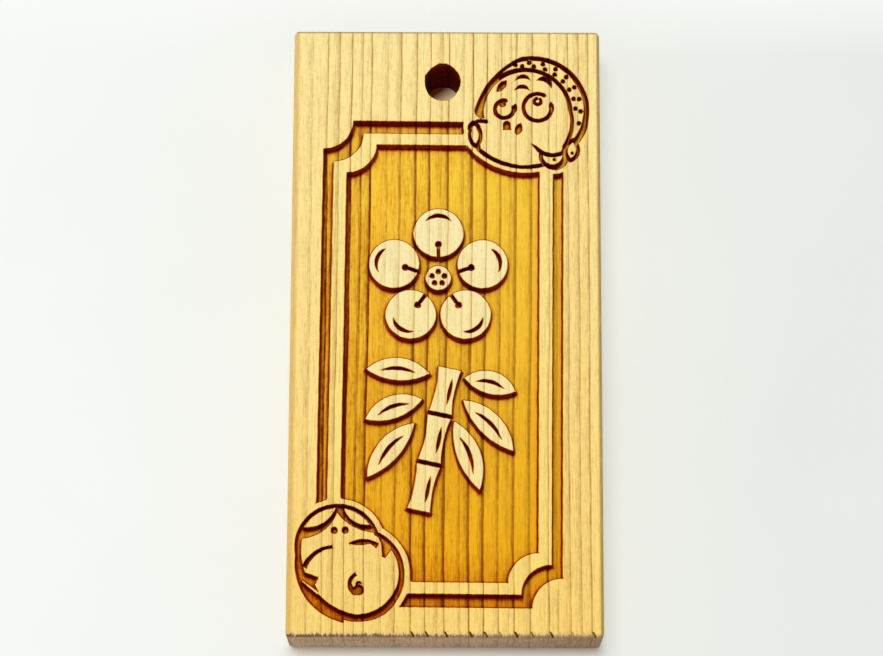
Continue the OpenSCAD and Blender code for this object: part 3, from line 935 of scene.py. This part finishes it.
# Scorch levels: bare up to, patchy from, widest streaks at, and the ground's share by scorch
BARE_UP_TO = 1 / 3
PATCHY_FROM = 0.05
STREAKS_FULL = 0.4
GROUND_SHARE = [(0, 0), (0.35, 0), (0.5, 1), (0.6, 0.6), (0.75, 0), (1, 0)]
# Share of each effect in the wood's colour
SPOTS_SHARE = 0.6
GRAIN_BASE = 0.03
PATCHY = 0.22
WARM_SHARE = 0.6
SPECK_FROM = 0.08
# The ground's sunny right side: half width of the change, shares of tone and calm
SUNNY_X = 9.375
SUNNY_SHARE = 0.95
SUNNY_CALM = 0.4
# Surface: gain and base of roughness, specular level, and bump with its height in mm
ROUGHNESS = (0.2, 0.66)
SPECULAR = 0.03
BUMP_STRENGTH = 0.35
BUMP_H = 0.02
BUMP_GRIT = 0.6

# End grain: gain and base of the rings
END_RINGS = (0.5, 0.2)
# Torn ticks: distance of tip and full width from the end, lean, growth and base of width, rag, sharpness
TICK_L = 0.8
TICK_IN = 0.2
TICK_LEAN = 0.36
TICK_W = (0.12, 0.2)
TICK_RAG = 0.25
TICK_SHARP = 9.0
# Ticks come up between these ring strengths, places across and shares of their length
TICK_STRENGTHS = (0.24, 0.64)
TICK_PLACES = (-20 / 3, -10 / 3)
TICK_STARTS = (0.2, 0.4)
# Fringe of fibres there: growth and base, gain, change across and share at the middle
FRINGE_GROWS = (1.5, -0.8)
FRINGE_GAIN = 1.8
FRINGE_ACROSS = (-0.22 / HALF_W, 0.67)
# Gain and base, by raggedness, of grey painted shade there towards the rounded lower end, and of torn tone
# by skin
END_SHADE = (1.6, 0.55)
TORN_SHARE = (0.94, 0.05)
# Painted shade on the rounded arrises of the long sides, darker on the right away from the light: share by
# place across the board in mm, tones, depth
ARRIS_SHADE = [(-15.0, 0.4), (-14.65, 0.6), (-14.3, 0.0), (14.6, 0.0), (14.8, 0.9), (15.0, 0.8)]
ARRIS_SHADE_LEFT = srgb(206, 150, 72)
ARRIS_SHADE_RIGHT = srgb(150, 118, 50)
ARRIS_DEEP = 1.5
# Painted shade line along the upper end's arris: width, distance from the end and share
TOP_LINE = 0.14
TOP_LINE_IN = 0.1
TOP_LINE_SHARE = 0.8


def ring_place(graph):
    """Place across the rings, the same all along one late-wood line."""
    share = graph.between(graph.math("ABSOLUTE", graph.x), LEAN_END, LEAN_END - LEAN_FADE)
    lean = graph.scaled(graph.math("SINE", graph.product(graph.y, LEAN_TURN)), LEAN_SIZE, LEAN_SHIFT)
    u = graph.math("SUBTRACT", graph.x, graph.product(share, lean))
    for size, turn, phase in SWAYS:
        swing = graph.math("SINE", graph.scaled(graph.y, turn, phase))
        u = graph.math("SUBTRACT", u, graph.product(swing, size))
    return graph.total(u, graph.noise(*WANDER))


class Rings:
    """The annual ring that a place across the rings lies in."""

    def __init__(self, graph, u):
        self.graph = graph
        self.count = len(RING_X) - 1
        across = graph.between(u, RING_X[0], RING_X[-1])
        places = (RING_X - RING_X[0]) / (RING_X[-1] - RING_X[0])
        steps = [(at, i / self.count) for i, at in enumerate(places)]
        phase = graph.product(graph.curve(across, steps), self.count)
        self.middle = graph.scaled(graph.math("FLOOR", phase), 1 / self.count, 0.5 / self.count)
        gap = graph.product(self.per_ring(RING_GAP / RING_GAP.max()), RING_GAP.max())
        self.after = graph.product(graph.math("FRACT", phase), gap)
        self.before = graph.math("SUBTRACT", gap, self.after)

    def per_ring(self, values):
        """A value given for each ring."""
        levels = [((i + 0.5) / self.count, value) for i, value in enumerate(values)]
        return self.graph.curve(self.middle, [(0.0, values[0])] + levels + [(1.0, values[-1])])


def ring_darkness(graph, u, cut):
    """Darkness of the annual rings, wider in the scorched ground than on the face."""
    rings = Rings(graph, u)
    after = graph.curve(rings.after, AFTER_PROFILE)
    line = graph.highest(graph.curve(rings.before, LINE_PROFILE), after)
    streak = graph.highest(graph.curve(rings.before, STREAK_PROFILE), after)
    streak = graph.product(streak, STREAK_GAIN)
    wider = graph.product(graph.between(cut, 0.0, STREAKS_FULL), graph.math("SUBTRACT", streak, line))
    dark = graph.product(graph.total(line, wider), rings.per_ring(RING_STRENGTH[1:]))
    brown = graph.product(graph.curve(rings.before, LEAD_PROFILE), rings.per_ring(RING_LEAD[1:]))
    brown = graph.product(brown, graph.between(cut, BARE_UP_TO, 0.0), LEAD_DEPTH)
    fade = graph.total(graph.noise(*RING_FADES), 1.0)
    return graph.clamped(graph.total(dark, brown), fade)


def torn_ticks(graph, u, near, ragged):
    """Share of torn wood at the lower end: leaning ticks at late wood, and a fringe of fibres."""
    rings = Rings(graph, graph.math("SUBTRACT", u, graph.product(near, TICK_LEAN)))
    width = graph.scaled(near, *TICK_W)
    inside_tick = graph.math("SUBTRACT", width, graph.total(rings.before, graph.product(ragged, TICK_RAG)))
    tick = graph.clamped(inside_tick, TICK_SHARP)
    tick = graph.product(tick, graph.between(rings.per_ring(RING_STRENGTH[1:]), *TICK_STRENGTHS))
    tick = graph.product(tick, graph.between(near, *TICK_STARTS), graph.between(graph.x, *TICK_PLACES))
    fringe = graph.scaled(graph.product(near, near), *FRINGE_GROWS)
    fringe = graph.total(graph.noise(*TORN_FIBRES), fringe)
    fringe = graph.clamped(fringe, FRINGE_GAIN)
    fringe = graph.product(fringe, graph.scaled(graph.x, *FRINGE_ACROSS))
    return graph.highest(tick, fringe)


def shaded_arrises(graph, ragged, colour):
    """Brown and dark painted shade along the long sides' arrises, darkest on the right away from the light,
    and a dark painted shade line at the upper end.
    """
    across = graph.between(graph.x, -HALF_W, HALF_W)
    # Painted shade on the long arrises, by place across the board
    wear = graph.curve(across, [(0.5 + 0.5 * at / HALF_W, share) for at, share in ARRIS_SHADE])
    high = graph.between(graph.z, FACE_Z - ARRIS_DEEP, FACE_Z)
    wear = graph.product(wear, high, graph.math("ADD", ragged, 1.0, clamp=True))
    tone = graph.mix(graph.math("GREATER_THAN", graph.x, 0.0), ARRIS_SHADE_LEFT, ARRIS_SHADE_RIGHT)
    colour = graph.mix(wear, colour, tone)
    # Painted shade line along the upper end's arris
    line_y = HALF_L - TOP_LINE_IN
    top = graph.between(graph.y, line_y - TOP_LINE, line_y)
    return graph.mix(graph.product(top, TOP_LINE_SHARE), colour, ARRIS_SHADE_RIGHT)


def end_grain_tone(graph, rings):
    """Tone of the sawn end grain, greyer towards the right."""
    share = graph.total(graph.scaled(rings, *END_RINGS), graph.noise(*PORES), graph.noise(*BLOTCHES))
    sawn = graph.mix(graph.clamped(share), END_EARLY, END_LATE)
    right = graph.between(graph.x, 0.0, HALF_W)
    return graph.mix(right, sawn, END_RIGHT_TINT, "MULTIPLY")


def sawn_end(graph, u, rings, colour):
    """The sawn ends: grey end grain, painted shade on the arrises and towards the lower end, and torn ticks.
    """
    end = graph.attribute("end_grain")
    near = graph.between(graph.y, TICK_L - HALF_L, TICK_IN - HALF_L)
    ragged = graph.noise(*RAGGED)
    # Grey painted shade on the face towards the rounded lower end, ragged
    worn = graph.clamped(graph.product(near, near), graph.scaled(ragged, *END_SHADE))
    # Painted shade along the arrises
    colour = shaded_arrises(graph, ragged, colour)
    colour = graph.mix(worn, colour, END_EARLY)
    colour = graph.mix(end, colour, end_grain_tone(graph, rings))
    skin = graph.math("SUBTRACT", 1.0, graph.product(end, end, end))
    torn = torn_ticks(graph, u, near, ragged)
    return graph.mix(graph.product(torn, graph.scaled(skin, *TORN_SHARE)), colour, TORN)


def early_wood(graph, tone, scorch_and_shade, bare, ground, sunny):
    """Early wood: warm streaks where bare, embers and a sunny right side in the ground."""
    pale = graph.ramp(scorch_and_shade, [(0.0, tone)] + EARLY)
    warmth = graph.clamped(graph.noise(*WARMTH))
    pale = graph.mix(graph.product(warmth, bare, WARM_SHARE), pale, WARM)
    embers = graph.clamped(graph.noise(*EMBERS))
    pale = graph.mix(graph.product(embers, ground), pale, EMBER)
    return graph.mix(graph.product(sunny, SUNNY_SHARE), pale, SUNNY)


def wood_surface(graph, colour, fibre, grit):
    """Feeds the shader with colour, dullness and the fibres' fine relief."""
    shader = graph.shader
    graph.feed(shader.inputs["Base Color"], colour)
    graph.feed(shader.inputs["Roughness"], graph.scaled(fibre, *ROUGHNESS))
    shader.inputs["Specular IOR Level"].default_value = SPECULAR
    bump = graph.node("Bump")
    bump.inputs["Strength"].default_value = BUMP_STRENGTH
    bump.inputs["Distance"].default_value = BUMP_H * MM
    graph.feed(bump.inputs["Height"], graph.total(fibre, graph.product(grit, BUMP_GRIT)))
    graph.feed(shader.inputs["Normal"], bump.outputs[0])


def wood(name, early, late, speckle):
    """Straight-grained softwood, browned and charred, with painted shade near walls, by the mesh attribute
    that carries both.
    """
    material = bpy.data.materials.new(name)
    graph = Graph(material)
    # The attribute holds the charring together with painted shade near walls
    cut = graph.attribute("scorch_and_shade")
    u = ring_place(graph)
    rings = ring_darkness(graph, u, cut)
    fibre = graph.noise(*FIBRE)
    coarse = graph.noise(*COARSE)
    mottle = graph.noise(*MOTTLE)
    grit = graph.noise(*GRIT)

    patches = graph.product(graph.total(fibre, mottle, coarse), PATCHY)
    patches = graph.product(patches, graph.math("GREATER_THAN", cut, PATCHY_FROM))
    scorch_and_shade = graph.math("ADD", cut, patches, clamp=True)
    bare = graph.between(scorch_and_shade, BARE_UP_TO, 0.0)
    ground = graph.curve(cut, GROUND_SHARE)
    sunny = graph.product(graph.between(graph.x, -SUNNY_X, SUNNY_X), ground)

    pale = early_wood(graph, early, scorch_and_shade, bare, ground, sunny)
    dark = graph.ramp(scorch_and_shade, [(0.0, late)] + LATE)
    grain = graph.total(rings, fibre, graph.product(graph.total(coarse, mottle), SPOTS_SHARE))
    grain = graph.math("ADD", grain, GRAIN_BASE, clamp=True)
    grain = graph.product(grain, graph.scaled(sunny, -SUNNY_CALM, 1.0))
    colour = graph.mix(grain, pale, dark)

    specks = graph.clamped(graph.math("SUBTRACT", grit, SPECK_FROM), speckle)
    colour = graph.mix(graph.product(specks, bare), colour, late)
    lower = graph.between(graph.y, HALF_L, -HALF_L)
    colour = graph.mix(lower, colour, graph.mix(bare, GROUND_FOOT_TINT, FOOT_TINT), "MULTIPLY")
    colour = sawn_end(graph, u, rings, colour)
    wood_surface(graph, colour, fibre, grit)
    return material


# Studio: camera, light and floor

# Camera: place in mm, turn in degrees, lens and sensor in mm, nearest distance in metres
CAMERA_AT = (-0.36, -72.04, 301.74)
CAMERA_TURN = (13.73, -0.042, 0.22)
LENS = 128.52
SENSOR = 36.0
CLIP_START = 0.01
# Light: an even sky, and a soft sun as strength, spread and direction
SKY = 0.46
SUN = 1.78
SUN_SPREAD = math.radians(26)
SUN_TOWARD = (0.12, -0.16, -1.0)

# Floor: half size, level, reach under the board, and patch below the cord hole
FLOOR_HALF = 1500.0
FLOOR_Z = -0.01
FLOOR_UNDER = 1.0
PATCH_R = 1.9
PATCH_POINTS = 32
# Its tones across the view, painted light falling off to the right, its clouds, and the fade to a tone
# painted lighter beyond the upper end
FLOOR_LEFT = srgb(246, 248, 244)
FLOOR_RIGHT = srgb(231, 234, 229)
FLOOR_HALF_VIEW = 43.0
CLOUDS = ((0.04, 0.04, 0.04), 2.0, 0.5)
FLOOR_TOP = srgb(249, 250, 246)
TOP_FADE = 8.0
FLOOR_ROUGHNESS = 0.9
FLOOR_SPECULAR = 0.1
# Its own glow, and the distances from the board between which it rises
FLOOR_GLOW = 0.5
GLOW_RISE = (-0.4, 0.6)
# In front of the lower end: painted warm shade and glow, and where they fade
FOOT_WARM_SHADE = srgb(250, 238, 230)
FOOT_GLOW = 0.6
FOOT_FULL = 1.0
FOOT_FADE = 8.0
FOOT_SIDE = 1.0
# Below the cord hole: tones of painted shadow and light, the way and range of their change, glow, distance
# from the sides
UNDER_SHADOW = srgb(104, 44, 12)
UNDER_LIGHT = srgb(255, 230, 180)
UNDER_WAY = (0.6, -0.8)
UNDER_RISE = (-1.25, 0.15)
UNDER_GLOW = 0.3
UNDER_IN = 2.5


def camera():
    data = bpy.data.cameras.new("camera")
    data.sensor_width = SENSOR
    data.lens = LENS
    data.clip_start = CLIP_START
    obj = linked("camera", data)
    obj.location = Vector(CAMERA_AT) * MM
    obj.rotation_euler = [math.radians(angle) for angle in CAMERA_TURN]
    bpy.context.scene.camera = obj


def lights():
    world = bpy.data.worlds.new("studio")
    world.use_nodes = True
    sky = world.node_tree.nodes["Background"]
    sky.inputs["Color"].default_value = (1.0, 1.0, 1.0, 1.0)
    sky.inputs["Strength"].default_value = SKY
    bpy.context.scene.world = world
    data = bpy.data.lights.new("window", "SUN")
    data.energy = SUN
    data.angle = SUN_SPREAD
    sun = linked("window", data)
    sun.rotation_euler = Vector(SUN_TOWARD).to_track_quat("-Z", "Y").to_euler()


def floor_mesh(hole):
    """A floor, open under the board, with a round patch below the cord hole."""
    angles = np.linspace(0, 2 * math.pi, PATCH_POINTS, endpoint=False)
    square = np.array([(-1, -1), (1, -1), (1, 1), (-1, 1)])
    inner = square * (HALF_W - FLOOR_UNDER, HALF_L - FLOOR_UNDER)
    plan = np.vstack([square * FLOOR_HALF, inner, circle(hole, PATCH_R, angles)])
    points = np.column_stack([plan, np.full(len(plan), FLOOR_Z)]) * MM
    faces = [(i, (i + 1) % 4, 4 + (i + 1) % 4, 4 + i) for i in range(4)]
    faces.append(tuple(range(8, len(plan))))
    mesh = bpy.data.meshes.new("floor")
    mesh.from_pydata(points.tolist(), [], faces)
    return mesh


class FloorPlace:
    """Where a point of the floor lies about the board."""

    def __init__(self, graph):
        self.beside = graph.math("SUBTRACT", graph.math("ABSOLUTE", graph.x), HALF_W)
        self.beyond = graph.math("SUBTRACT", graph.y, HALF_L)
        self.below = graph.scaled(graph.y, -1.0, -HALF_L)
        outside = graph.highest(self.beside, self.beyond, self.below)
        self.hidden = graph.math("LESS_THAN", outside, -UNDER_IN)
        near_end = graph.between(self.below, FOOT_FADE, 0.0)
        self.near_end = graph.product(near_end, graph.between(self.beside, FOOT_SIDE, -FOOT_SIDE))


def floor_tone(graph, at, hole):
    """Shaded across as painted light and lighter beyond the upper end, warmer with painted shade at the
    lower end, and brown with painted shadow below the cord hole.
    """
    # Painted light falling off from left to right across the view
    across = graph.scaled(graph.x, 0.5 / FLOOR_HALF_VIEW, 0.5)
    across = graph.math("ADD", across, graph.noise(*CLOUDS), clamp=True)
    tone = graph.mix(across, FLOOR_LEFT, FLOOR_RIGHT)
    # Painted light: the floor lighter beyond the upper end
    tone = graph.mix(graph.between(at.beyond, 0.0, TOP_FADE), tone, FLOOR_TOP)
    # Painted warm shade on the floor in front of the lower end
    foot = graph.product(graph.math("GREATER_THAN", at.below, 0.0), at.near_end)
    tone = graph.mix(foot, tone, FOOT_WARM_SHADE, "MULTIPLY")
    # Painted shadow below the cord hole, darkest under the wall on the side the light comes from
    slant = graph.scaled(graph.y, UNDER_WAY[1], -np.dot(hole, UNDER_WAY))
    slant = graph.total(graph.product(graph.x, UNDER_WAY[0]), slant)
    under = graph.mix(graph.between(slant, *UNDER_RISE), UNDER_SHADOW, UNDER_LIGHT)
    return graph.mix(at.hidden, tone, under)


def floor_glow(graph, at):
    """Share of the floor's own glow, seen directly and in reflections."""
    share = graph.between(graph.highest(at.beside, at.beyond), *GLOW_RISE)
    foot = graph.scaled(at.near_end, FOOT_GLOW - FLOOR_GLOW, FLOOR_GLOW)
    foot = graph.product(graph.between(at.below, 0.0, FOOT_FULL), foot)
    share = graph.highest(graph.product(share, FLOOR_GLOW), foot)
    share = graph.total(share, graph.product(at.hidden, UNDER_GLOW))
    path = graph.node("LightPath").outputs
    seen = graph.highest(path["Is Camera Ray"], path["Is Glossy Ray"], path["Is Transmission Ray"])
    return graph.product(seen, share)


def floor(hole):
    """The pale floor, with a little glow and the board's shadow."""
    material = bpy.data.materials.new("paper")
    graph = Graph(material)
    at = FloorPlace(graph)
    tone = floor_tone(graph, at, hole)
    graph.feed(graph.shader.inputs["Base Color"], tone)
    graph.shader.inputs["Roughness"].default_value = FLOOR_ROUGHNESS
    graph.shader.inputs["Specular IOR Level"].default_value = FLOOR_SPECULAR
    glow = graph.node("Emission", tone).outputs[0]
    blend = graph.node("MixShader", floor_glow(graph, at), graph.shader.outputs[0], glow)
    graph.feed(graph.nodes["Material Output"].inputs["Surface"], blend.outputs[0])
    mesh = floor_mesh(hole)
    mesh.materials.append(material)
    linked("floor", mesh)


bpy.context.scene.view_settings.view_transform = "Standard"
board_loops = outlines_of("board")
camera()
lights()
floor(cord_hole(board_loops).mean(axis=0))

woods = {slot: wood(slot, *tones) for slot, tones in WOODS.items()}
openings = tree_of([dense(loop) for loop in board_loops if signed_area(loop) < 0])
piece_loops = {}
for slot, names in (("band_wood", BANDS), ("mask_wood", MASKS), ("relief_wood", RELIEF)):
    for name in names:
        loops = outlines_of(name)
        piece_loops[name] = max(loops, key=signed_area)
        let_in_piece(name, loops, woods[slot], openings if name in MEETING else None)
board_piece(board_loops, piece_loops, woods["board_wood"])
